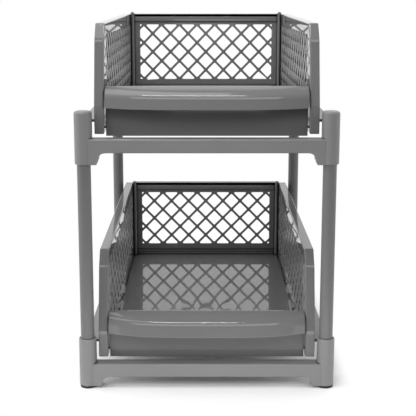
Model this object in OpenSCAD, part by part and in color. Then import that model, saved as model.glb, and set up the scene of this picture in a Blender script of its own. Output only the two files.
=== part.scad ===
// Two-tier stand with two sliding lattice baskets.
// X is the width, the front faces -Y, and Z is up from the surface it stands on.

/* [Stand] */
// Distance between the left and right post axes
post_gap_x = 221; // [200:1:260]
// Distance between the front and rear post axes
post_gap_y = 330; // [300:1:380]
// Rise from the lower crossbars to the upper crossbars
tier_pitch = 211; // [180:1:240]
// Outer radius of the post tubes
post_r = 6.25; // [5:0.25:7]
// Wall thickness of the post tubes
post_wall = 0.8; // [0.6:0.1:1.6]
// Thickness of the rubber foot pads
pad_t = 1.8; // [1:0.2:4]

/* [Crossbars] */
// Height of a crossbar
bar_h = 12.6; // [10:0.2:16]
// Front to back size of a crossbar
bar_depth = 13.3; // [10:0.1:14]
// Wall of a collar outside its post
collar_wall = 1.8; // [1.4:0.1:2.4]
// Height of a collar above the crossbar's top
collar_rise = 24.2; // [18:0.2:30]
// Depth of the upper collars below the crossbar
collar_drop = 10.6; // [6:0.2:14]
// Depth of the lower collars below the crossbar
foot_drop = 8.6; // [6:0.2:14]
// Reach of a gusset's arc along the crossbar
gusset_reach = 6.2; // [4:0.1:10]

/* [Side rails] */
// Thickness of a side rail
rail_t = 2.4; // [1.6:0.2:3.2]
// Height of a rail's top above the crossbar's top
rail_rise = 14.5; // [13:0.1:18]
// Distance from a post's axis to the shoulder of its rail
rail_setback = 20.3; // [18:0.1:30]

/* [Baskets] */
// Thickness of a side panel
side_t = 1.8; // [1.4:0.1:2.4]
// Thickness of the back panel and the front wall
wall_t = 2; // [1.6:0.1:2.6]
// Thickness of the floor
floor_t = 2; // [1.6:0.1:3]
// Height of the floor's top above the crossbar's top
floor_rise = 9.2; // [8:0.2:12]
// Height of the rear rim above the crossbar's top
rim_rise = 103.2; // [96:0.2:112]
// Width of the flange round a panel, panel included
flange_w = 8.7; // [6:0.1:10]
// Thickness of the flange
flange_t = 1.8; // [1.4:0.1:2.4]
// Room between a basket's flange and the collars
side_room = 1.5; // [0.6:0.1:3]

/* [Lattice] */
// Width of one lattice cell
cell_w = 21.8; // [18:0.2:26]
// Height of one lattice cell
cell_h = 22.3; // [20:0.1:23]
// Width of a lattice strand
strand_w = 2.8; // [2:0.1:4]
// Lattice cells from the bottom to the top
cell_rows = 3; // [2:1:3]

/* [Pull lip] */
// Height of the lip's top above the crossbar's top
lip_rise = 45.8; // [43:0.2:52]
// Height of the lip's front edge line
lip_brow_rise = 38.3; // [35:0.1:40]
// Height of the lip's bottom edge
lip_foot_rise = 26.3; // [24:0.1:31]
// Forward swell of the lip's bottom edge between its ends
lip_bulge = 10.4; // [6:0.1:12]
// Thickness of the lip
lip_t = 2; // [1.6:0.1:2.6]

/* [Hidden] */
$fn = 64;

// Post positions and the levels of the two tiers
post_x = post_gap_x / 2;
post_y = post_gap_y / 2;
lower_top = pad_t + foot_drop + bar_h;
upper_top = lower_top + tier_pitch;

// Collars and their bores
post_play = 0.05;
bore_r = post_r + post_play;
collar_r = post_r + post_play + collar_wall;
collar_edge = 0.7;
foot_floor = 4;
cap_t = 2.8;
cap_crown = 0.9;
cap_dome = 3.4;
cap_power = 0.6;
cap_steps = 8;
post_end_play = 0.2;
collar_front = post_y + collar_r;

// Crossbar section and gussets
bar_edge = 0.9;
gusset_foot = 5.2;
gusset_steps = 8;
gusset_ledge_h = 3.6;
gusset_toe_h = 1.9;
gusset_ledge_t = 0.6;
gusset_slant = 0.9;
bar_front = post_y + bar_depth / 2;

// Foot pads
pad_inset = 0.5;
spigot_r = 2.5;
spigot_play = 0.1;
spigot_h = 2.8;

// Basket side walls, measured from the middle
basket_out = post_x - collar_r - side_room;
basket_in = basket_out - flange_w;
panel_out = basket_in + side_t;

// Rails: the inner edge runs in the channel of the basket's side
rail_gap = 1.2;
rail_in = panel_out + rail_gap;
tongue_half = 3.9;
rail_out = post_x + tongue_half;
tongue_reach = 8;
socket_play = 0.1;
socket_wall = 1.6;
shoulder_gap = 0.3;
seat_gap = 0.3;
runner_t = 1.8;
runner_inset = 0.7;

// Basket outline seen from the side
side_drop = 3;
front_edge_back = 10.8;
knee_rise = 28.4;
crease_back = 23.8;
crease_drop = 16.7;
corner_back = 34.8;
corner_drop = 2.2;
back_play = 0.2;
flange_rear = collar_front - back_play;
back_in = flange_rear - flange_w;
panel_rear = back_in + wall_t;
front_edge = front_edge_back - bar_front;
crease_y = crease_back - bar_front;
corner_y = corner_back - bar_front;

// Lattice windows
lattice_drop = 13;
lattice_top = rim_rise - lattice_drop;
lattice_bottom = lattice_top - cell_rows * cell_h;
back_side_share = 0.21;
back_margin = 10.8;
rounding_share = 0.1;
back_columns = floor(2 * (basket_in - back_margin) / cell_w - 2 * back_side_share + rounding_share);
side_rear_margin = 10.5;
side_rear = back_in - side_rear_margin;
side_columns = floor((side_rear - corner_y) / cell_w + rounding_share);
side_front = side_rear - side_columns * cell_w;
hole_nip = 1;

// Stepped border and bead of the back panel
step_t = 0.7;
step_side = 3.9;
step_bottom = 7.4;
bead_low = 8.9;
bead_high = 3.6;
bead_t = 0.6;

// Front wall and lip
wall_setback = 18.8;
wall_front = bar_front - wall_setback;
wall_bottom = 0.3;
lip_end_gap = 1;
lip_half = basket_in - lip_end_gap;
brow_setback = 3.6;
brow_front = collar_front - brow_setback;
brow_bulge = 8;
brow_end_drop = 0.3;
brow_ease = 3;
brow_steps = 3;
foot_end_rise = 0.3;
bow_power = 3.4;
lip_steps = 26;
lip_end_drop = 0.5;
arch_rise = 1.1;
arch_end_drop = 0.5;
arch_steps = 6;
lip_top_edge = 0.5;
lip_root = 3.2;

// Corner pins
pin_r = 2.2;
pin_play = 0.1;
pin_head_r = 2.5;
pin_head_h = 2.4;
pin_crown_steps = 6;

// Floor notches for the side panels' tabs
notch_count = 6;
notch_step = 48.8;
notch_length = 5;
notch_depth = 1.2;
notch_rear = 12.9;

stand_grey = [0.42, 0.42, 0.43];
basket_grey = [0.36, 0.36, 0.37];
pad_black = [0.05, 0.05, 0.05];

// Section of the crossbar, with its long edges eased
module bar_section() {
    h = bar_h / 2;
    d = bar_depth / 2;
    polygon([
        [-d + bar_edge, -h], [d - bar_edge, -h], [d, -h + bar_edge], [d, h - bar_edge],
        [d - bar_edge, h], [-d + bar_edge, h], [-d, h - bar_edge], [-d, -h + bar_edge]
    ]);
}

// Gusset outline: a quarter-round from the crossbar's underside down to the foot beside a collar;
// the foot steps back and slants over the height of the ledge
module gusset_outline(drop, ledge) {
    inner = post_x - collar_r - gusset_foot;
    depth = min(gusset_reach, drop - ledge);
    arc = [
        for (i = [0 : gusset_steps])
            let (a = 90 * i / gusset_steps)
            [inner - gusset_reach + gusset_reach * cos(a), -depth + depth * sin(a)]
    ];
    foot = [
        [post_x, -drop],
        [inner + gusset_ledge_t + gusset_slant, -drop],
        [inner + gusset_ledge_t, ledge - drop],
        [inner, ledge - drop]
    ];
    start = depth < drop - ledge ? arc : [for (i = [1 : gusset_steps]) arc[i]];
    polygon(concat([[post_x, bar_edge]], foot, start, [[inner - gusset_reach, bar_edge]]));
}

// Solid outside of an open collar that runs from z = 0 up to height h
module open_collar(h) {
    rotate_extrude()
        polygon([
            [0, 0], [collar_r - collar_edge, 0], [collar_r, collar_edge],
            [collar_r, h - collar_edge], [collar_r - collar_edge, h], [0, h]
        ]);
}

// Solid outside of a closed collar whose domed top ends at height h
module closed_collar(h) {
    dome = [
        for (i = [0 : cap_steps])
            let (a = 90 * i / cap_steps)
            [collar_r * pow(cos(a), cap_power), h - cap_dome + cap_dome * pow(sin(a), cap_power)]
    ];
    rotate_extrude()
        polygon(concat([[0, 0], [collar_r - collar_edge, 0], [collar_r, collar_edge]], dome));
}

// Block behind a collar that holds the tongue of a side rail
module rail_socket() {
    half = tongue_half + socket_play + socket_wall;
    length = rail_setback - shoulder_gap;
    translate([-half, 0, rail_rise - rail_t - socket_play - socket_wall])
        cube([2 * half, length, rail_t + 2 * (socket_play + socket_wall)]);
}

// Slot in that block
module rail_slot() {
    half = tongue_half + socket_play;
    start = rail_setback - shoulder_gap - tongue_reach - socket_play;
    translate([-half, start, rail_rise - rail_t - socket_play])
        cube([2 * half, tongue_reach + rail_setback, rail_t + 2 * socket_play]);
}

// Everything round one post, with the crossbar's top at z = 0
module lower_end() {
    translate([0, 0, -bar_h - foot_drop])
        open_collar(foot_drop + bar_h + collar_rise);
    rail_socket();
}

module upper_end() {
    translate([0, 0, -bar_h - collar_drop])
        closed_collar(collar_drop + bar_h + collar_rise + cap_crown);
    rail_socket();
}

module bar_and_gussets(drop, ledge) {
    reach = post_x - sqrt(collar_r * collar_r - bar_depth * bar_depth / 4);
    translate([-reach, 0, -bar_h / 2])
        rotate([90, 0, 90])
        linear_extrude(2 * reach)
        bar_section();
    for (side = [0, 1])
        mirror([side, 0, 0])
        translate([0, bar_depth / 2, -bar_h])
        rotate([90, 0, 0])
        linear_extrude(bar_depth)
        gusset_outline(drop, ledge);
}

// Front crossbar of the lower tier, at its place
module lower_bar() {
    translate([0, -post_y, lower_top])
        difference() {
            union() {
                bar_and_gussets(foot_drop, gusset_toe_h);
                for (side = [-1, 1])
                    translate([side * post_x, 0, 0])
                    lower_end();
            }
            for (side = [-1, 1])
                translate([side * post_x, 0, 0]) {
                    translate([0, 0, foot_floor - bar_h - foot_drop])
                        cylinder(r = bore_r, h = foot_drop + bar_h + 2 * collar_rise);
                    translate([0, 0, -bar_h - foot_drop - pad_t])
                        cylinder(r = spigot_r + spigot_play, h = spigot_h + spigot_play + pad_t);
                    rail_slot();
                }
        }
}

// Front crossbar of the upper tier, at its place
module upper_bar() {
    translate([0, -post_y, upper_top])
        difference() {
            union() {
                bar_and_gussets(collar_drop, gusset_ledge_h);
                for (side = [-1, 1])
                    translate([side * post_x, 0, 0])
                    upper_end();
            }
            for (side = [-1, 1])
                translate([side * post_x, 0, 0]) {
                    translate([0, 0, -2 * bar_h - collar_drop])
                        cylinder(r = bore_r, h = 2 * bar_h + collar_drop + collar_rise + cap_crown - cap_t);
                    rail_slot();
                }
        }
}

// Tube from the floor of the lower collar to the ceiling of the upper one
module post() {
    foot = pad_t + foot_floor;
    top = upper_top + collar_rise + cap_crown - cap_t - post_end_play;
    translate([0, 0, foot])
        difference() {
            cylinder(r = post_r, h = top - foot);
            translate([0, 0, -post_wall])
                cylinder(r = post_r - post_wall, h = top - foot + 2 * post_wall);
        }
}

module pad() {
    cylinder(r = collar_r - pad_inset, h = pad_t);
    cylinder(r = spigot_r, h = pad_t + spigot_h);
}

// Right-hand side rail of a tier whose crossbars have their top at z = 0
module rail() {
    half = post_y - rail_setback;
    translate([0, 0, rail_rise - rail_t]) {
        translate([rail_in, -half, 0])
            cube([rail_out - rail_in, 2 * half, rail_t]);
        translate([post_x - tongue_half, -half - tongue_reach, 0])
            cube([2 * tongue_half, 2 * (half + tongue_reach), rail_t]);
    }
}

// Point where two lines meet, each moved inwards by t; a, b and c run anticlockwise
function inward(a, b, t) = let (d = b - a, l = norm(d)) [-d[1] / l * t, d[0] / l * t];
function meet(a, b, c, t) =
    let (
        p = a + inward(a, b, t),
        q = b + inward(b, c, t),
        u = b - a,
        v = c - b,
        k = ((q[0] - p[0]) * v[1] - (q[1] - p[1]) * v[0]) / (u[0] * v[1] - u[1] * v[0])
    )
    p + k * u;
function inset(points, t) = [
    for (i = [0 : len(points) - 1])
        meet(points[(i + len(points) - 1) % len(points)], points[i], points[(i + 1) % len(points)], t)
];

// Side outline of a basket, front to the left, as (y, z) above the crossbar's top
side_outline = [
    [front_edge, side_drop],
    [panel_rear, side_drop],
    [panel_rear, rim_rise],
    [corner_y, rim_rise - corner_drop],
    [crease_y, rim_rise - crease_drop],
    [front_edge, knee_rise]
];

// One diamond hole between the strands, with nipped corners
module diamond() {
    a = cell_w / 2;
    b = cell_h / 2;
    reach = a * b / norm([a, b]);
    share = 1 - strand_w / 2 / reach;
    w = a * share;
    h = b * share;
    n = hole_nip;
    polygon([
        [w - n, -n], [w - n, n], [n, h - n], [-n, h - n],
        [n - w, n], [n - w, -n], [-n, n - h], [n, n - h]
    ]);
}

// Lattice holes in a window that starts at (x0, z0) with a node at (node_x, z0)
module lattice_holes(x0, x1, node_x, z0) {
    count = ceil((x1 - x0) / cell_w) + 1;
    intersection() {
        translate([x0, z0])
            square([x1 - x0, cell_rows * cell_h]);
        for (i = [-1 : 2 * count])
            for (j = [0 : 2 * cell_rows])
                if ((i + j) % 2 != 0 && node_x + i * cell_w / 2 > x0 - cell_w / 2 + strand_w
                    && node_x + i * cell_w / 2 < x1 + cell_w / 2 - strand_w)
                    translate([node_x + i * cell_w / 2, z0 + j * cell_h / 2])
                    diamond();
    }
}

// Right-hand side panel of a basket
module side_panel() {
    translate([basket_in, 0, 0])
        rotate([90, 0, 90])
        linear_extrude(side_t)
        difference() {
            polygon(side_outline);
            lattice_holes(side_front, side_rear, side_front, lattice_bottom);
        }
    difference() {
        translate([basket_in, 0, 0])
            rotate([90, 0, 90])
            linear_extrude(flange_w)
            difference() {
                polygon(side_outline);
                polygon(inset(side_outline, flange_t));
            }
        translate([panel_out, panel_rear - 2 * flange_t, side_drop + flange_t])
            cube([flange_w, 4 * flange_t, rail_rise + seat_gap - side_drop - flange_t]);
    }
    translate([basket_in, front_edge + flange_t / 2, rail_rise + seat_gap])
        cube([flange_w - runner_inset, panel_rear - front_edge - flange_t, runner_t]);
}

// Back panel between the side panels
module back_panel() {
    window = back_columns * cell_w / 2 + back_side_share * cell_w;
    step_half = basket_in - step_side;
    step_height = rim_rise - bead_low - lattice_bottom + step_bottom;
    outline = [
        [-basket_in, side_drop], [basket_in, side_drop], [basket_in, rim_rise], [-basket_in, rim_rise]
    ];
    translate([0, panel_rear, 0])
        rotate([90, 0, 0])
        difference() {
            linear_extrude(wall_t)
                difference() {
                    polygon(outline);
                    lattice_holes(-window, window, -back_columns * cell_w / 2, lattice_bottom);
                }
            translate([-step_half, lattice_bottom - step_bottom, wall_t - step_t])
                cube([2 * step_half, step_height, wall_t]);
        }
    translate([0, flange_rear, 0])
        rotate([90, 0, 0])
        linear_extrude(flange_w)
        difference() {
            polygon(outline);
            polygon(inset(outline, flange_t));
        }
    translate([-step_half, back_in - bead_t, rim_rise - bead_low])
        cube([2 * step_half, wall_t, bead_low - bead_high]);
}

// Floor plate with the notches for the side panels' tabs
module floor_plate() {
    difference() {
        translate([-basket_in, wall_t - wall_front, floor_rise - floor_t])
            cube([2 * basket_in, back_in + wall_front - wall_t, floor_t]);
        for (side = [-1, 1])
            for (i = [0 : notch_count - 1])
                translate([
                    side * basket_in - notch_depth,
                    back_in - notch_rear - notch_length / 2 - i * notch_step,
                    floor_rise - 2 * floor_t
                ])
                cube([2 * notch_depth, notch_length, 3 * floor_t]);
    }
}

// Section of the front wall and lip at x, as (y, z); the lip's top is a low arch
function front_section(x) =
    let (
        end = pow(abs(x) / lip_half, bow_power),
        foot = [lip_bulge * end - collar_front, lip_foot_rise + foot_end_rise * end],
        brow = [brow_bulge * end - brow_front, lip_brow_rise - brow_end_drop * end],
        crest = lip_rise - lip_end_drop * end,
        top = [-wall_front - lip_top_edge, crest],
        arch = arch_rise - arch_end_drop * end,
        arc = [
            for (i = [1 : arch_steps - 1])
                let (k = i / arch_steps)
                top + k * (brow - top) + [0, 4 * arch * k * (1 - k)]
        ],
        down = (brow - foot) / norm(brow - foot),
        slope = (top - brow) / norm(top - brow),
        over = arc[arch_steps - 2],
        under = brow - brow_ease * down
    )
    concat(
        [
            [-wall_front, wall_bottom],
            [-wall_front + wall_t, wall_bottom],
            [-wall_front + wall_t, crest - lip_top_edge],
            [-wall_front + wall_t - lip_top_edge, crest],
            top
        ],
        [for (i = [0 : arch_steps - 3]) arc[i]],
        [
            for (i = [0 : brow_steps])
                let (k = i / brow_steps)
                (1 - k) * (1 - k) * over + 2 * k * (1 - k) * brow + k * k * under
        ],
        [
            foot,
            foot + lip_t * [down[1], -down[0]],
            brow + lip_t * [(down[1] + slope[1]) / 2, -(down[0] + slope[0]) / 2],
            arc[arch_steps / 2 - 1] + lip_t * [slope[1], -slope[0]],
            [-wall_front, crest - lip_root]
        ]
    );

// Front wall with its pull lip, one shell from side to side
module front_wall() {
    places = [for (i = [0 : lip_steps]) lip_half * (2 * i / lip_steps - 1)];
    rings = [for (x = places) front_section(x)];
    n = len(rings[0]);
    points = [
        for (i = [0 : lip_steps])
            for (p = rings[i])
                [places[i], p[0], p[1]]
    ];
    walls = [
        for (i = [0 : lip_steps - 1])
            for (j = [0 : n - 1])
                for (f = [
                    [i * n + j, (i + 1) * n + (j + 1) % n, i * n + (j + 1) % n],
                    [i * n + j, (i + 1) * n + j, (i + 1) * n + (j + 1) % n]
                ])
                    f
    ];
    ends = [[for (j = [0 : n - 1]) j], [for (j = [n - 1 : -1 : 0]) lip_steps * n + j]];
    polyhedron(points, concat(walls, ends));
}

// Pin in the right-hand rear corner, its head on the rim
module corner_pin() {
    crown = [
        for (i = [0 : pin_crown_steps])
            let (a = 90 * i / pin_crown_steps)
            [pin_head_r * cos(a), rim_rise + pin_head_h * sin(a)]
    ];
    translate([basket_in - pin_r - pin_play, back_in - pin_r - pin_play, 0])
        rotate_extrude()
        polygon(concat([[0, floor_rise], [pin_r, floor_rise], [pin_r, rim_rise]], crown));
}

module left() {
    mirror([1, 0, 0])
        children();
}

module rear() {
    mirror([0, 1, 0])
        children();
}

module at_lower() {
    translate([0, 0, lower_top])
        children();
}

module at_upper() {
    translate([0, 0, upper_top])
        children();
}

module lower_front_bar() color(stand_grey) lower_bar();
module lower_rear_bar() color(stand_grey) rear() lower_bar();
module upper_front_bar() color(stand_grey) upper_bar();
module upper_rear_bar() color(stand_grey) rear() upper_bar();
module post_front_left() color(stand_grey) translate([-post_x, -post_y, 0]) post();
module post_front_right() color(stand_grey) translate([post_x, -post_y, 0]) post();
module post_rear_left() color(stand_grey) translate([-post_x, post_y, 0]) post();
module post_rear_right() color(stand_grey) translate([post_x, post_y, 0]) post();
module pad_front_left() color(pad_black) translate([-post_x, -post_y, 0]) pad();
module pad_front_right() color(pad_black) translate([post_x, -post_y, 0]) pad();
module pad_rear_left() color(pad_black) translate([-post_x, post_y, 0]) pad();
module pad_rear_right() color(pad_black) translate([post_x, post_y, 0]) pad();
module lower_left_rail() color(stand_grey) at_lower() left() rail();
module lower_right_rail() color(stand_grey) at_lower() rail();
module upper_left_rail() color(stand_grey) at_upper() left() rail();
module upper_right_rail() color(stand_grey) at_upper() rail();
module lower_floor() color(basket_grey) at_lower() floor_plate();
module lower_left_side() color(basket_grey) at_lower() left() side_panel();
module lower_right_side() color(basket_grey) at_lower() side_panel();
module lower_back() color(basket_grey) at_lower() back_panel();
module lower_front() color(basket_grey) at_lower() front_wall();
module lower_left_pin() color(basket_grey) at_lower() left() corner_pin();
module lower_right_pin() color(basket_grey) at_lower() corner_pin();
module upper_floor() color(basket_grey) at_upper() floor_plate();
module upper_left_side() color(basket_grey) at_upper() left() side_panel();
module upper_right_side() color(basket_grey) at_upper() side_panel();
module upper_back() color(basket_grey) at_upper() back_panel();
module upper_front() color(basket_grey) at_upper() front_wall();
module upper_left_pin() color(basket_grey) at_upper() left() corner_pin();
module upper_right_pin() color(basket_grey) at_upper() corner_pin();

lower_front_bar();
lower_rear_bar();
upper_front_bar();
upper_rear_bar();
post_front_left();
post_front_right();
post_rear_left();
post_rear_right();
pad_front_left();
pad_front_right();
pad_rear_left();
pad_rear_right();
lower_left_rail();
lower_right_rail();
upper_left_rail();
upper_right_rail();
lower_floor();
lower_left_side();
lower_right_side();
lower_back();
lower_front();
lower_left_pin();
lower_right_pin();
upper_floor();
upper_left_side();
upper_right_side();
upper_back();
upper_front();
upper_left_pin();
upper_right_pin();
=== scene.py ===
import math

import bmesh
import bpy
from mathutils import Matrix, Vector
from mathutils.geometry import tessellate_polygon


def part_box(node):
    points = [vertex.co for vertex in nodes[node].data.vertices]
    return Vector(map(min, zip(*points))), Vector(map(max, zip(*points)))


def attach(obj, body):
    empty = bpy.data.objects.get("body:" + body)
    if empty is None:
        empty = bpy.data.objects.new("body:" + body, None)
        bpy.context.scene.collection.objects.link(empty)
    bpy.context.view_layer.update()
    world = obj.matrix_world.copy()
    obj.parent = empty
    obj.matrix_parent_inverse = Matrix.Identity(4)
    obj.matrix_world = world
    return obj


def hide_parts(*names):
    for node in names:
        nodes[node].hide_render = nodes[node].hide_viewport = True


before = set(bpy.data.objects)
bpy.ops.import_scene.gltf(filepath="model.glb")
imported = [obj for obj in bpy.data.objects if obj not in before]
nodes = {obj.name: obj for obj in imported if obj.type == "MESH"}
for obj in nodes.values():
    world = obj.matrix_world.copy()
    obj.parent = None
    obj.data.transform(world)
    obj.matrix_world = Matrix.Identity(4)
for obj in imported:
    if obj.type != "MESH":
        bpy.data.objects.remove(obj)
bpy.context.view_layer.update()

mm = 0.001

# Camera: product view from the front, a little above the upper tier, with a short telephoto
# lens. The small shift puts the object at the place that it has in the picture.
camera_tilt = 10.1
camera_data = bpy.data.cameras.new("camera")
camera_data.sensor_width = 36
camera_data.lens = 79.5
camera_data.shift_x = 0.012
camera_data.shift_y = -0.12
camera = bpy.data.objects.new("camera", camera_data)
camera.location = Vector((-3.5, -975.7, 360.5)) * mm
camera.rotation_euler = (math.radians(90 - camera_tilt), 0, 0)
bpy.context.scene.collection.objects.link(camera)
bpy.context.scene.camera = camera


# Crossbars: four semi-gloss polypropylene mouldings, each with a bar, two collars and two
# gussets. They come from a polished steel mould, so they are smooth, with soft edges and a
# faint ripple along the bar.
def grey(level):
    return (level, level, level, 1)


class NodeTree:
    """The nodes of a material or of the world, with short calls for the kinds used here."""

    def __init__(self, tree):
        self.tree = tree

    def feed(self, socket, value):
        """Give a socket another node's output or a plain value."""
        if isinstance(value, bpy.types.NodeSocket):
            self.tree.links.new(value, socket)
        else:
            socket.default_value = value

    def node(self, kind, inputs=(), **settings):
        made = self.tree.nodes.new(kind)
        for key, value in settings.items():
            setattr(made, key, value)
        for key, value in dict(inputs).items():
            self.feed(made.inputs[key], value)
        return made

    def math(self, operation, first, second):
        return self.node("ShaderNodeMath", {0: first, 1: second}, operation=operation).outputs[0]

    def vector(self, operation, first, second=(0, 0, 0)):
        made = self.node("ShaderNodeVectorMath", {0: first, 1: second}, operation=operation)
        return made.outputs["Value" if operation == "LENGTH" else "Vector"]

    def ramp(self, factor, low, high, start=0.3, end=0.7, curve="LINEAR"):
        """Low up to the factor's start, high from its end, and in between along the curve."""
        made = self.node(
            "ShaderNodeMapRange",
            {"Value": factor, "From Min": start, "From Max": end, "To Min": low, "To Max": high},
            interpolation_type=curve,
        )
        return made.outputs["Result"]

    def between(self, factor, first, second):
        made = self.node("ShaderNodeMix", {0: factor, 2: first, 3: second}, data_type="FLOAT")
        return made.outputs[0]


class Finish(NodeTree):
    """One procedural material."""

    def __init__(self, name):
        self.material = bpy.data.materials.new(name)
        self.material.use_nodes = True
        super().__init__(self.material.node_tree)
        self.shader = self.tree.nodes["Principled BSDF"]
        self.place = self.node("ShaderNodeTexCoord").outputs["Object"]

    def wire(self, name, value):
        """Feed a socket of the material's own shader."""
        self.feed(self.shader.inputs[name], value)

    def stretched(self, x, y, z):
        moved = self.node("ShaderNodeMapping", {"Vector": self.place, "Scale": (x, y, z)})
        return moved.outputs["Vector"]

    def noise(self, scale, detail, place=None):
        made = self.node(
            "ShaderNodeTexNoise",
            {"Vector": place or self.place, "Scale": scale, "Detail": detail},
        )
        return made.outputs["Fac"]

    def mix(self, factor, first, second):
        """A colour between two colours."""
        made = self.node("ShaderNodeMix", data_type="RGBA")
        for socket, value in ((made.inputs[0], factor), (made.inputs[6], first), (made.inputs[7], second)):
            self.feed(socket, value)
        return made.outputs[2]

    def bump(self, height, depth, normal=None):
        inputs = {"Height": height, "Distance": depth, "Strength": 1.0}
        if normal is not None:
            inputs["Normal"] = normal
        return self.node("ShaderNodeBump", inputs).outputs["Normal"]

    def painted_corner_shade(self, color, reach):
        """The colour with painted shade, going over to near black in corners and grooves narrower than
        reach.
        """
        clear = self.node("ShaderNodeAmbientOcclusion", {"Distance": reach}, samples=8).outputs["AO"]
        return self.mix(self.ramp(clear, 0, 1, start=0.5, end=0.95), grey(0.02), color)

    def soft_edges(self, radius):
        return self.node("ShaderNodeBevel", {"Radius": radius}, samples=6).outputs["Normal"]


def stand_finish():
    finish = Finish("stand moulding")
    cloudy = finish.noise(9, 3)
    color = finish.mix(finish.ramp(cloudy, 0, 1), grey(0.2), grey(0.22))
    # Painted shade: the colour goes near black in the corners and joints of the mouldings.
    finish.wire("Base Color", finish.painted_corner_shade(color, 2 * mm))
    finish.wire("Roughness", finish.ramp(finish.noise(60, 4), 0.30, 0.40))
    edges = finish.soft_edges(0.5 * mm)
    ripple = finish.bump(finish.noise(35, 1, finish.stretched(0.3, 1, 1)), 0.12 * mm, edges)
    finish.wire("Normal", finish.bump(finish.noise(2600, 2), 0.006 * mm, ripple))
    return finish.material


def dress(node, material):
    """Give a solid that keeps its own shape its material."""
    slots = nodes[node].data.materials
    for i in range(len(slots)):
        slots[i] = material


stand_grey = stand_finish()
for tier in ("lower", "upper"):
    for end in ("front", "rear"):
        dress(f"{tier}_{end}_bar", stand_grey)


# Side rails: plain level ledges of the same plastic as the crossbars, one on each side of a
# tier. Their ends are pushed into the sockets behind the collars, and the baskets slide on them.
for tier in ("lower", "upper"):
    for side in ("left", "right"):
        dress(f"{tier}_{side}_rail", stand_grey)


# Posts: half-inch steel tube with a grey powder coat, which has a fine orange-peel surface.
# They are cut square and pushed into the collars from both ends.
def powder_coat():
    finish = Finish("powder coat")
    worn = finish.noise(24, 4, finish.stretched(1, 1, 0.25))
    finish.wire("Base Color", finish.mix(finish.ramp(worn, 0, 1), grey(0.14), grey(0.16)))
    finish.wire("Roughness", finish.ramp(finish.noise(140, 3), 0.34, 0.46))
    peel = finish.bump(finish.noise(900, 2), 0.02 * mm)
    finish.wire("Normal", finish.bump(finish.noise(3500, 2), 0.006 * mm, peel))
    return finish.material


coat_grey = powder_coat()
for end in ("front", "rear"):
    for side in ("left", "right"):
        dress(f"post_{end}_{side}", coat_grey)


# Foot pads: black moulded rubber discs that keep the stand from slipping. Each has a spigot,
# which is pressed up into the hole in the bottom of its lower collar.
def pad_rubber():
    finish = Finish("pad rubber")
    dusty = finish.noise(300, 4)
    finish.wire("Base Color", finish.mix(finish.ramp(dusty, 0, 1), grey(0.012), grey(0.03)))
    finish.wire("Roughness", finish.ramp(finish.noise(500, 3), 0.6, 0.8))
    edges = finish.soft_edges(0.4 * mm)
    finish.wire("Normal", finish.bump(finish.noise(2500, 3), 0.02 * mm, edges))
    return finish.material


rubber_black = pad_rubber()
for end in ("front", "rear"):
    for side in ("left", "right"):
        dress(f"pad_{end}_{side}", rubber_black)


# Basket side panels: high-gloss mouldings with a diagonal lattice in a plain border and an
# outward flange all round. A rib over the rail carries the basket. All edges are rounded off.
side_t = 1.8 * mm
side_margin = 4 * mm
side_edge = 1.2 * mm
side_steps = 6
flange_t = 1.8 * mm
flange_edge = 0.7 * mm
flange_root = 0.7 * mm
flange_steps = 3

toe_r, heel_r, top_r = 1.5 * mm, 1.2 * mm, 2 * mm
corner_back, corner_drop, corner_r = 24 * mm, 2.2 * mm, 3 * mm
crease_back, crease_drop, crease_r = 13 * mm, 16.7 * mm, 10 * mm
knee_rise, knee_r = 25.4 * mm, 2 * mm

rail_slot_rise = 11.8 * mm
rib_t = 1.8 * mm
rib_inset = 0.7 * mm
rib_edge = 0.4 * mm
rib_root = 0.3 * mm

cell_w = 21.8 * mm
cell_h = 22.3 * mm
cell_rows = 3
strand_w = 2.8 * mm
lattice_drop = 13 * mm
side_rear_margin = 12.5 * mm
hole_corner = 1.1 * mm
hole_corner_share = 0.45
hole_edge = 0.4 * mm
least_hole = 0.2 * mm
column_slack = 0.1


def basket_finish():
    finish = Finish("basket moulding")
    cloudy = finish.noise(7, 3)
    color = finish.mix(finish.ramp(cloudy, 0, 1), grey(0.165), grey(0.18))
    # Painted shade: the colour goes near black in the corners, grooves and joints of the baskets.
    finish.wire("Base Color", finish.painted_corner_shade(color, 3 * mm))
    finish.wire("Roughness", finish.ramp(finish.noise(45, 4), 0.025, 0.06))
    ripple = finish.bump(finish.noise(22, 1), 0.02 * mm)
    finish.wire("Normal", finish.bump(finish.noise(2200, 2), 0.0004 * mm, ripple))
    return finish.material


basket_grey = basket_finish()


def meet(before, corner, after, inset):
    """The corner's place when both its edges move inwards; the points run anticlockwise."""
    a, b = (corner - before).normalized(), (after - corner).normalized()
    p = corner + inset * Vector((-a.y, a.x))
    q = corner + inset * Vector((-b.y, b.x))
    turn = a.x * b.y - a.y * b.x
    if abs(turn) < 1e-6:
        return p
    gap = q - p
    return p + a * ((gap.x * b.y - gap.y * b.x) / turn)


def outline(corners, radii, inset, steps):
    """A convex outline moved inwards, or outwards if inset is negative, with rounded corners."""
    points = []
    count = len(corners)
    for i, corner in enumerate(corners):
        before, after = corners[i - 1], corners[(i + 1) % count]
        radius = max(radii[i] - inset, 0)
        centre = meet(before, corner, after, inset + radius)
        a, b = corner - before, after - corner
        start = math.atan2(-a.x, a.y)
        turn = (math.atan2(-b.x, b.y) - start + math.pi) % (2 * math.pi) - math.pi
        for k in range(steps + 1):
            angle = start + turn * k / steps
            points.append(centre + radius * Vector((math.cos(angle), math.sin(angle))))
    return points


def arc(centre, radius, start, end, steps):
    """Points on an arc, in degrees, as (x, y) pairs."""
    turn = [math.radians(start + (end - start) * k / steps) for k in range(steps + 1)]
    return [(centre[0] + radius * math.cos(a), centre[1] + radius * math.sin(a)) for a in turn]


def eased(edge, height, root=0):
    """Section of a raised strip with a rounded edge, from its root up, as (inset, height)."""
    share = 0.3
    return [(0, root), (0, height - edge), (share * edge, height - share * edge), (edge, height)]


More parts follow.
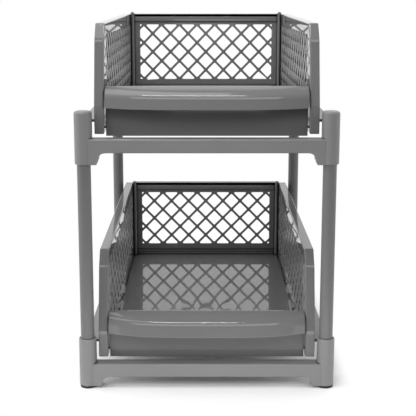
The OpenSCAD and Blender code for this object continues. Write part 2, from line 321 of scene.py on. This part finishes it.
def flange_profile(panel_t, flange_w, margin, edge):
    """Section from the panel's front face out round the flange and back, as (inset, depth)."""
    rim = flange_w - flange_edge
    bends = (
        ((edge, edge), edge, 270, 180),
        ((flange_edge, rim), flange_edge, 180, 90),
        ((flange_t - flange_edge, rim), flange_edge, 90, 0),
        ((flange_t + flange_root, panel_t + flange_root), flange_root, 180, 270),
    )
    rounds = [point for bend in bends for point in arc(*bend, flange_steps)]
    return [(margin, 0)] + rounds + [(margin, panel_t)]


class Shell:
    """Points and faces of one moulding; place turns (across, up, depth) into a point in space."""

    same = 1e-6
    sharp_angle = 50

    def __init__(self, place):
        self.place = place
        self.points = []
        self.faces = []

    def loop(self, flat, depth):
        """Add a closed row of points, at one depth or with a list of depths."""
        start = len(self.points)
        depths = depth if isinstance(depth, list) else [depth] * len(flat)
        self.points += [self.place(p.x, p.y, d) for p, d in zip(flat, depths)]
        return list(range(start, len(self.points)))

    def band(self, first, second):
        for i in range(len(first)):
            j = (i + 1) % len(first)
            self.faces.append((first[i], first[j], second[j], second[i]))

    def bands(self, loops):
        for first, second in zip(loops, loops[1:]):
            self.band(first, second)

    def fill(self, *loops):
        """Close the first loop with faces that leave the other loops open."""
        kept = []
        for ids in loops:
            spots = [self.points[i] for i in ids]
            before = spots[-1:] + spots[:-1]
            kept.append([i for i, p, q in zip(ids, spots, before) if (p - q).length > self.same / 10])
        flat = [i for ids in kept for i in ids]
        for face in tessellate_polygon([[self.points[i] for i in ids] for ids in kept]):
            self.faces.append(tuple(flat[i] for i in face))

    def piece(self, name, material):
        mesh = bpy.data.meshes.new(name)
        build = bmesh.new()
        verts = [build.verts.new(p) for p in self.points]
        for face in self.faces:
            build.faces.new([verts[i] for i in face])
        bmesh.ops.remove_doubles(build, verts=build.verts, dist=self.same)
        bmesh.ops.dissolve_degenerate(build, edges=build.edges, dist=self.same / 10)
        bmesh.ops.recalc_face_normals(build, faces=build.faces)
        build.to_mesh(mesh)
        build.free()
        mesh.shade_smooth()
        mesh.set_sharp_from_angle(angle=math.radians(self.sharp_angle))
        mesh.materials.append(material)
        made = bpy.data.objects.new(name, mesh)
        bpy.context.scene.collection.objects.link(made)
        weighted = made.modifiers.new("even shading", "WEIGHTED_NORMAL")
        weighted.keep_sharp = True
        return made


def clipped(shape, axis, limit, sign):
    """The part of a convex shape on one side of a line across an axis."""
    kept = []
    for i, p in enumerate(shape):
        q = shape[(i + 1) % len(shape)]
        a, b = sign * (p[axis] - limit), sign * (q[axis] - limit)
        if a >= 0:
            kept.append(p)
        if a * b < 0:
            kept.append(p + (q - p) * (a / (a - b)))
    return kept


def lattice_holes(left, right, bottom, first_node):
    """Diamond holes between the strands, cut off straight at the window's border."""
    a, b = cell_w / 2, cell_h / 2
    share = 1 - strand_w / 2 / (a * b / math.hypot(a, b))
    top = bottom + cell_rows * cell_h
    holes = []
    for i in range(-1, 2 * math.ceil((right - left) / cell_w) + 2):
        for j in range(2 * cell_rows + 1):
            if (i + j) % 2 == 0:
                continue
            centre = Vector((first_node + i * a, bottom + j * b))
            shape = [centre + Vector(p) * share for p in ((a, 0), (0, b), (-a, 0), (0, -b))]
            for axis, limit, sign in ((0, left, 1), (0, right, -1), (1, bottom, 1), (1, top, -1)):
                shape = clipped(shape, axis, limit, sign) if len(shape) > 2 else []
            if len(shape) < 3:
                continue
            sides = list(zip(shape, shape[1:] + shape[:1]))
            area = sum(p.x * q.y - p.y * q.x for p, q in sides) / 2
            inner = 2 * area / sum((p - q).length for p, q in sides)
            if inner > least_hole:
                holes.append((shape, min(hole_corner, hole_corner_share * inner)))
    return holes


def pierce(shell, holes, front, back):
    """Walls of the holes, with eased edges. Returns their loops on the front and on the back."""
    fronts, backs = [], []
    ease = [(hole_edge - x, y) for x, y in arc((0, hole_edge), hole_edge, -90, 0, 2)]
    for shape, corner in holes:
        radii = [corner] * len(shape)
        profile = [(e, front + d) for e, d in ease] + [(e, back - d) for e, d in reversed(ease)]
        loops = [shell.loop(outline(shape, radii, -e, 3), d) for e, d in profile]
        shell.bands(loops)
        fronts.append(loops[0])
        backs.append(loops[-1])
    return fronts, backs


def side_panel(tier, side):
    node = f"{tier}_{side}_side"
    low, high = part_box(node)
    sign = 1 if side == "right" else -1
    inner = min(abs(low.x), abs(high.x))
    flange_w = high.x - low.x
    front, rear, bottom, top = low.y, high.y, low.z, high.z

    # The flange is open at the rear end over the height of the rail, so that the rail can enter
    slot_low, slot_top = bottom + flange_t, bottom + rail_slot_rise
    open_corners = (3, 4)
    bends = (
        (front, bottom, toe_r),
        (rear, bottom, heel_r),
        (rear, slot_low, 0),
        (rear, slot_low, 0),
        (rear, slot_top, 0),
        (rear, slot_top, 0),
        (rear, top, top_r),
        (front + corner_back, top - corner_drop, corner_r),
        (front + crease_back, top - crease_drop, crease_r),
        (front, bottom + knee_rise, knee_r),
    )
    corners = [Vector((y, z)) for y, z, radius in bends]
    radii = [radius for y, z, radius in bends]

    shell = Shell(lambda y, z, depth: Vector((sign * (inner + depth), y, z)))
    loops = []
    for inset, depth in flange_profile(side_t, flange_w, side_margin, side_edge):
        flat = outline(corners, radii, inset, side_steps)
        depths = [
            min(depth, side_t) if i // (side_steps + 1) in open_corners else depth
            for i in range(len(flat))
        ]
        loops.append(shell.loop(flat, depths))
    shell.bands(loops)

    lattice_bottom = top - lattice_drop - cell_rows * cell_h
    lattice_rear = rear - side_rear_margin
    columns = int((lattice_rear - front - corner_back) / cell_w + column_slack)
    lattice_front = lattice_rear - columns * cell_w
    holes = lattice_holes(lattice_front, lattice_rear, lattice_bottom, lattice_front)
    fronts, backs = pierce(shell, holes, 0, side_t)
    shell.fill(loops[0], *fronts)
    shell.fill(loops[-1], *backs)

    rib = [Vector((front + flange_t / 2, slot_top)), Vector((rear - flange_t / 2, slot_top))]
    rib += [p + Vector((0, rib_t)) for p in reversed(rib)]
    rib_loops = [
        shell.loop(outline(rib, [rib_edge] * 4, inset, 3), depth)
        for inset, depth in eased(rib_edge, flange_w - rib_inset, side_t - rib_root)
    ]
    shell.bands(rib_loops)
    shell.fill(rib_loops[0])
    shell.fill(rib_loops[-1])

    piece = shell.piece(f"{node}_panel", basket_grey)
    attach(piece, f"{tier}_basket")
    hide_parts(node)


for tier in ("lower", "upper"):
    for side in ("left", "right"):
        side_panel(tier, side)


# Basket back panels: the same gloss moulding as the sides, with the lattice set in a stepped
# border under a raised bead, a groove along the top and the foot, and an outward flange behind.
wall_t = 2 * mm
back_overlap = 0.21 * cell_w
back_margin = 10.8 * mm
back_rim_margin = 3.2 * mm
back_edge = 0.7 * mm
back_corner_r = 1.2 * mm
step_t = 1 * mm
step_side = 3.9 * mm
step_foot = 7.4 * mm
step_edge = 0.3 * mm
step_r = 0.5 * mm
bead_t = 0.6 * mm
bead_edge = 0.5 * mm
bead_drops = (8.9 * mm, 3.6 * mm)
groove_r = 0.4 * mm
top_groove_drops = (3.2 * mm, 0.9 * mm)
foot_groove_rises = (9 * mm, 12.6 * mm)


def back_panel(tier):
    node = f"{tier}_back"
    low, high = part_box(node)
    half = high.x
    face = low.y + bead_t
    flange_w = high.y - face
    bottom, top = low.z, high.z

    shell = Shell(lambda x, z, depth: Vector((x, face + depth, z)))
    corners = [Vector(p) for p in ((-half, bottom), (half, bottom), (half, top), (-half, top))]
    loops = [
        shell.loop(outline(corners, [back_corner_r] * 4, inset, 4), depth)
        for inset, depth in flange_profile(wall_t, flange_w, back_rim_margin, back_edge)
    ]
    shell.bands(loops)

    columns = int(2 * (half - back_margin - back_overlap) / cell_w + column_slack)
    first_node = -columns * cell_w / 2
    window = back_overlap - first_node
    lattice_bottom = top - lattice_drop - cell_rows * cell_h
    holes = lattice_holes(-window, window, lattice_bottom, first_node)
    fronts, backs = pierce(shell, holes, step_t, wall_t)

    def strip(low_z, high_z):
        """A long rectangle between the side borders."""
        reach = half - step_side
        return [Vector(p) for p in ((-reach, low_z), (reach, low_z), (reach, high_z), (-reach, high_z))]

    def sink(low_z, high_z, corner):
        """Walls of a recess with a rounded edge. Returns its loops on the face and at its bottom."""
        cut = [(inset, step_t - rise) for inset, rise in reversed(eased(step_edge, step_t))]
        loops = [
            shell.loop(outline(strip(low_z, high_z), [corner] * 4, -inset, 3), depth)
            for inset, depth in cut
        ]
        shell.bands(loops)
        return loops[0], loops[-1]

    bead_low, bead_high = (top - drop for drop in bead_drops)
    step_mouth, step_floor = sink(lattice_bottom - step_foot, bead_low - 2 * step_edge, step_r)
    shell.fill(step_floor, *fronts)

    grooves = [[top - drop for drop in top_groove_drops], [bottom + rise for rise in foot_groove_rises]]
    mouths = []
    for low_z, high_z in grooves:
        groove_mouth, groove_floor = sink(low_z, high_z, groove_r)
        shell.fill(groove_floor)
        mouths.append(groove_mouth)

    bead_loops = [
        shell.loop(outline(strip(bead_low, bead_high), [bead_edge] * 4, inset, 3), -rise)
        for inset, rise in eased(bead_edge, bead_t)
    ]
    shell.bands(bead_loops)
    shell.fill(bead_loops[-1])
    shell.fill(loops[0], step_mouth, bead_loops[0], *mouths)
    shell.fill(loops[-1], *backs)

    piece = shell.piece(f"{node}_panel", basket_grey)
    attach(piece, f"{tier}_basket")
    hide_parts(node)


for tier in ("lower", "upper"):
    back_panel(tier)


# Basket floors: solid gloss plates, notched along both sides for the tabs of the side panels.
# The moulding has sunk and swelled a little towards the front, which bends its reflections.
notch_count = 6
notch_step = 48.8 * mm
notch_length = 5 * mm
notch_depth = 1.2 * mm
notch_rear = 12.9 * mm
floor_mesh_step = 3.5 * mm
swell = 0.3 * mm
wave_start_share = 0.48
wave_rise_share = 0.12
wave_width_share = 0.8


def floor_plate(tier):
    node = f"{tier}_floor"
    low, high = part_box(node)
    half = high.x
    notches = [
        (high.y - notch_rear - i * notch_step - notch_length / 2,
         high.y - notch_rear - i * notch_step + notch_length / 2)
        for i in range(notch_count)
    ]
    count = round(2 * (half - notch_depth) / floor_mesh_step)
    xs = [-half] + [(half - notch_depth) * (2 * i / count - 1) for i in range(count + 1)] + [half]
    stops = sorted([low.y, high.y] + [edge for notch in notches for edge in notch])
    ys = []
    for start, end in zip(stops, stops[1:]):
        parts = max(1, round((end - start) / floor_mesh_step))
        ys += [start + (end - start) * k / parts for k in range(parts)]
    ys.append(high.y)

    def sag(x, y):
        """How far the top lies below flat: a long hollow, with a wave across it at the front."""
        depth = (y - low.y) / (high.y - low.y)
        near = min(1.0, max(0.0, (wave_start_share - depth) / wave_rise_share))
        middle = max(0.0, 1 - (x / (wave_width_share * half)) ** 2)
        hollow = min(1.0, max(0.0, (1 - depth) / 0.5)) * (1 - (x / half) ** 4)
        wave = 0.5 * near * near * (3 - 2 * near) * middle * math.cos(2 * math.pi * x / cell_w)
        return swell * (0.5 * hollow + wave)

    columns, rows = len(xs), len(ys)
    present = {
        (i, j)
        for i in range(columns - 1)
        for j in range(rows - 1)
        if i not in (0, columns - 2)
        or not any(a < (ys[j] + ys[j + 1]) / 2 < b for a, b in notches)
    }
    shell = Shell(lambda x, y, z: Vector((x, y, z)))
    for y in ys:
        shell.loop([Vector((x, y)) for x in xs], [high.z - sag(x, y) for x in xs])
    for y in ys:
        shell.loop([Vector((x, y)) for x in xs], low.z)
    under = columns * rows

    def vertex(i, j):
        return j * columns + i

    for i, j in sorted(present):
        ring = [vertex(i, j), vertex(i + 1, j), vertex(i + 1, j + 1), vertex(i, j + 1)]
        shell.faces.append(tuple(ring))
        shell.faces.append(tuple(under + v for v in reversed(ring)))
        beside = ((i, j - 1), (i + 1, j), (i, j + 1), (i - 1, j))
        for k, other in enumerate(beside):
            if other not in present:
                a, b = ring[k], ring[(k + 1) % 4]
                shell.faces.append((b, a, under + a, under + b))
    piece = shell.piece(f"{node}_plate", basket_grey)
    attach(piece, f"{tier}_basket")
    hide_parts(node)


for tier in ("lower", "upper"):
    floor_plate(tier)


# Basket front walls: a low wall that rolls over into a wide pull lip, moulded in one piece.
# The lip's brow is a broad, soft bend, and its face swells forward between the ends.
lip_t = 2 * mm
lip_steps = 84
bow_power = 3.4
foot_drop = 19.5 * mm
foot_bulge = 10.4 * mm
brow_reach = 16.65 * mm
brow_drop = 7.5 * mm
brow_bulge = 8 * mm
end_shift = 0.3 * mm
crest_reach = 0.5 * mm
crest_end_drop = 0.5 * mm
arch_rise = 1.1 * mm
arch_end_drop = 0.5 * mm
arch_steps = 6
root_drop = 3.2 * mm
wall_foot_r, wall_top_r = 0.5 * mm, 0.8 * mm
crest_r, brow_tangent, brow_share = 4 * mm, 3 * mm, 0.27
lip_foot_r, under_brow_r, under_top_r = 0.8 * mm, 4 * mm, 8 * mm
root_r, root_tangent = 1.2 * mm, 2.5 * mm
section_steps = 8


def rounded(corners, radii, steps):
    """A closed outline of any shape with an arc in each corner."""
    points = []
    for i, corner in enumerate(corners):
        if radii[i] == 0:
            points.append(corner)
            continue
        a = (corner - corners[i - 1]).normalized()
        b = (corners[(i + 1) % len(corners)] - corner).normalized()
        turn = math.atan2(a.x * b.y - a.y * b.x, a.dot(b))
        tangent = radii[i] * math.tan(abs(turn) / 2)
        side = 1 if turn > 0 else -1
        centre = corner - tangent * a + side * radii[i] * Vector((-a.y, a.x))
        start = math.atan2(-side * a.x, side * a.y)
        for k in range(steps + 1):
            angle = start + turn * k / steps
            points.append(centre + radii[i] * Vector((math.cos(angle), math.sin(angle))))
    return points


def corner_turn(before, corner, after):
    return abs(math.atan2((corner - before).cross(after - corner), (corner - before).dot(after - corner)))


def front_wall(tier):
    node = f"{tier}_front"
    low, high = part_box(node)
    half = high.x
    back, bottom, top = high.y, low.z, high.z
    wall_front = back - wall_t

    def section(x):
        """Section of the wall and lip, as (y, z): up the wall, over the lip and back under it."""
        end = abs(x / half) ** bow_power
        foot = Vector((low.y + foot_bulge * end, top - foot_drop + end_shift * end))
        brow = Vector((wall_front - brow_reach + brow_bulge * end, top - brow_drop - end_shift * end))
        crest = Vector((wall_front - crest_reach, top - crest_end_drop * end))
        arch = arch_rise - arch_end_drop * end

        def top_face(k):
            return crest.lerp(brow, k) + Vector((0, 4 * arch * k * (1 - k)))

        down, slope = (brow - foot).normalized(), (crest - brow).normalized()
        under_foot = foot + lip_t * Vector((down.y, -down.x))
        under_brow = brow + lip_t * Vector(((down.y + slope.y) / 2, -(down.x + slope.x) / 2))
        under_top = top_face(0.5) + lip_t * Vector((slope.y, -slope.x))
        root = Vector((wall_front, crest.y - root_drop))
        bends = [top_face(k / arch_steps) for k in range(1, arch_steps - 1)]
        corners = [Vector((wall_front, bottom)), Vector((back, bottom)), Vector((back, crest.y)), crest]
        corners += bends + [brow, foot, under_foot, under_brow, under_top, root]
        brow_turn = corner_turn(bends[-1], brow, foot)
        root_turn = corner_turn(under_top, root, corners[0])
        brow_r = min(brow_tangent, brow_share * (crest - brow).length) / math.tan(brow_turn / 2)
        tight_root_r = min(root_r, root_tangent / math.tan(root_turn / 2))
        radii = [wall_foot_r, wall_foot_r, wall_top_r, crest_r] + [0] * len(bends)
        radii += [brow_r, lip_foot_r, lip_foot_r, under_brow_r, under_top_r, tight_root_r]
        return rounded(corners, radii, section_steps)

    places = [half * (2 * i / lip_steps - 1) for i in range(lip_steps + 1)]
    shell = Shell(lambda y, z, x: Vector((x, y, z)))
    loops = [shell.loop(section(x), x) for x in places]
    shell.bands(loops)
    shell.fill(loops[0])
    shell.fill(loops[-1])
    piece = shell.piece(f"{node}_wall_and_lip", basket_grey)
    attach(piece, f"{tier}_basket")
    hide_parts(node)


for tier in ("lower", "upper"):
    front_wall(tier)


# Corner pins: round gloss pins with domed heads, of the baskets' plastic. They are dropped
# down the rear corners of the baskets and hold the side and back panels together.
for tier in ("lower", "upper"):
    for side in ("left", "right"):
        dress(f"{tier}_{side}_pin", basket_grey)


# Floor sheet: matt white paper under the object. Near the object it takes the shadow, and
# further out the eye sees it as plain white, so that it has no edge. There it is darker to
# the light than it looks, so that it throws little light back up.
sheet_reach = 1.3
sheet_sides = 96
sheet_drop = 0.2 * mm
shadow_ground = Vector((118, 172, 0)) * mm
shadow_narrowing = (2.5, 1, 1)
shadow_fade = 50 * mm
darker_from, darker_to = 80 * mm, 260 * mm


def sheet_paper():
    finish = Finish("floor sheet")
    fibre = finish.noise(40, 3)
    paper = finish.mix(finish.ramp(fibre, 0, 1), grey(0.93), grey(0.95))
    finish.wire("Roughness", 0.9)
    finish.wire("Specular IOR Level", 0.1)
    beyond = finish.vector("SUBTRACT", finish.vector("ABSOLUTE", finish.place), shadow_ground)
    beyond = finish.vector("MAXIMUM", beyond)
    outer = finish.ramp(finish.vector("LENGTH", beyond), 0, 1, start=darker_from, end=darker_to)
    finish.wire("Base Color", finish.mix(outer, paper, grey(0.3)))
    aside = finish.vector("LENGTH", finish.vector("MULTIPLY", beyond, shadow_narrowing))
    far = finish.ramp(aside, 0, 1, start=0, end=shadow_fade, curve="SMOOTHSTEP")
    rays = finish.node("ShaderNodeLightPath").outputs
    seen = finish.math("ADD", rays["Is Camera Ray"], rays["Is Glossy Ray"])
    seen = finish.math("ADD", seen, rays["Is Transmission Ray"])
    plain = finish.node("ShaderNodeEmission", {"Color": (1, 1, 1, 1), "Strength": 1.0})
    blend = finish.node(
        "ShaderNodeMixShader",
        {0: finish.math("MULTIPLY", seen, far), 1: finish.shader.outputs[0], 2: plain.outputs[0]},
    )
    finish.feed(finish.tree.nodes["Material Output"].inputs["Surface"], blend.outputs[0])
    return finish.material


rim = [
    (sheet_reach * math.cos(turn), sheet_reach * math.sin(turn), -sheet_drop)
    for turn in (2 * math.pi * k / sheet_sides for k in range(sheet_sides))
]
sheet_mesh = bpy.data.meshes.new("floor")
sheet_mesh.from_pydata(rim, [], [tuple(range(sheet_sides))])
sheet_mesh.materials.append(sheet_paper())
floor_sheet = bpy.data.objects.new("floor", sheet_mesh)
bpy.context.scene.collection.objects.link(floor_sheet)


# Studio: a white room, dark in front at eye level where the camera stands, with large soft
# lamps in front, at the sides and overhead, and a narrow strip lamp that draws the thin lines
# on the lips. The low lamps stand for the light that the table throws back up.
room_front = 0.02
room_left, room_right = 1.9, 1.5

world = bpy.data.worlds.new("studio")
bpy.context.scene.world = world
world.use_nodes = True
room = NodeTree(world.node_tree)
direction = room.node("ShaderNodeTexCoord").outputs["Generated"]
parts = room.node("ShaderNodeSeparateXYZ", {"Vector": direction}).outputs
sides = room.ramp(parts["X"], room_left, room_right, start=-0.9, end=0.9)
level_part = room.vector("NORMALIZE", room.vector("MULTIPLY", direction, (1, 1, 0)))
ahead = room.node("ShaderNodeSeparateXYZ", {"Vector": level_part}).outputs["Y"]
around = room.ramp(ahead, 0, 1, start=-0.75, end=-0.25, curve="SMOOTHSTEP")
below = room.ramp(parts["Z"], 1, 0, start=0.74, end=0.88, curve="SMOOTHSTEP")
wide = room.math("MULTIPLY", around, below)
lit = room.between(wide, room_front, sides)
rays = room.node("ShaderNodeLightPath").outputs
mirrored = room.math("MULTIPLY", room.math("ADD", rays["Is Glossy Ray"], rays["Is Transmission Ray"]), wide)
white = room.math("MAXIMUM", mirrored, rays["Is Camera Ray"])
background = world.node_tree.nodes["Background"]
room.feed(background.inputs["Strength"], room.between(white, lit, 1.0))
room.feed(background.inputs["Color"], (1, 1, 1, 1))

tiers = Vector((0, -100, 200)) * mm
lower_lip = Vector((0, -178, 60)) * mm


def lamp(name, place, size, radiance, aim=tiers, mirrored_too=True):
    """A soft lamp that faces the object. Its place is its azimuth, from the front towards the
    right, its elevation and its distance."""
    azimuth, elevation, distance = place
    width, height = size
    data = bpy.data.lights.new(name, "AREA")
    data.shape = "RECTANGLE"
    data.size, data.size_y = width, height
    data.energy = radiance * math.pi * width * height
    a, e = math.radians(azimuth), math.radians(elevation)
    away = Vector((math.sin(a) * math.cos(e), -math.cos(a) * math.cos(e), math.sin(e)))
    made = bpy.data.objects.new(name, data)
    made.location = aim + distance * away
    made.rotation_euler = away.to_track_quat("Z", "Y").to_euler()
    made.visible_camera = False
    made.visible_glossy = mirrored_too
    bpy.context.scene.collection.objects.link(made)


lamp("front lamp", place=(0, 40, 2.0), size=(1.5, 0.7), radiance=2.75)
lamp("left lamp", place=(-48, 30, 2.0), size=(1.4, 1.3), radiance=2.3, mirrored_too=False)
lamp("right lamp", place=(45, 22, 2.0), size=(1.4, 0.7), radiance=1.3, mirrored_too=False)
lamp("overhead lamp", place=(-90, 71, 2.0), size=(1.4, 1.6), radiance=2.0)
lamp("low lamp", place=(1, -3, 3.2), size=(0.42, 0.34), radiance=1.8)
lamp("strip lamp", place=(-11, 74, 1.04), size=(0.36, 0.06), radiance=28)
lamp("fill lamp", place=(0, -22, 0.12), size=(0.36, 0.03), radiance=1.7, aim=lower_lip)

bpy.context.scene.view_settings.view_transform = "Standard"
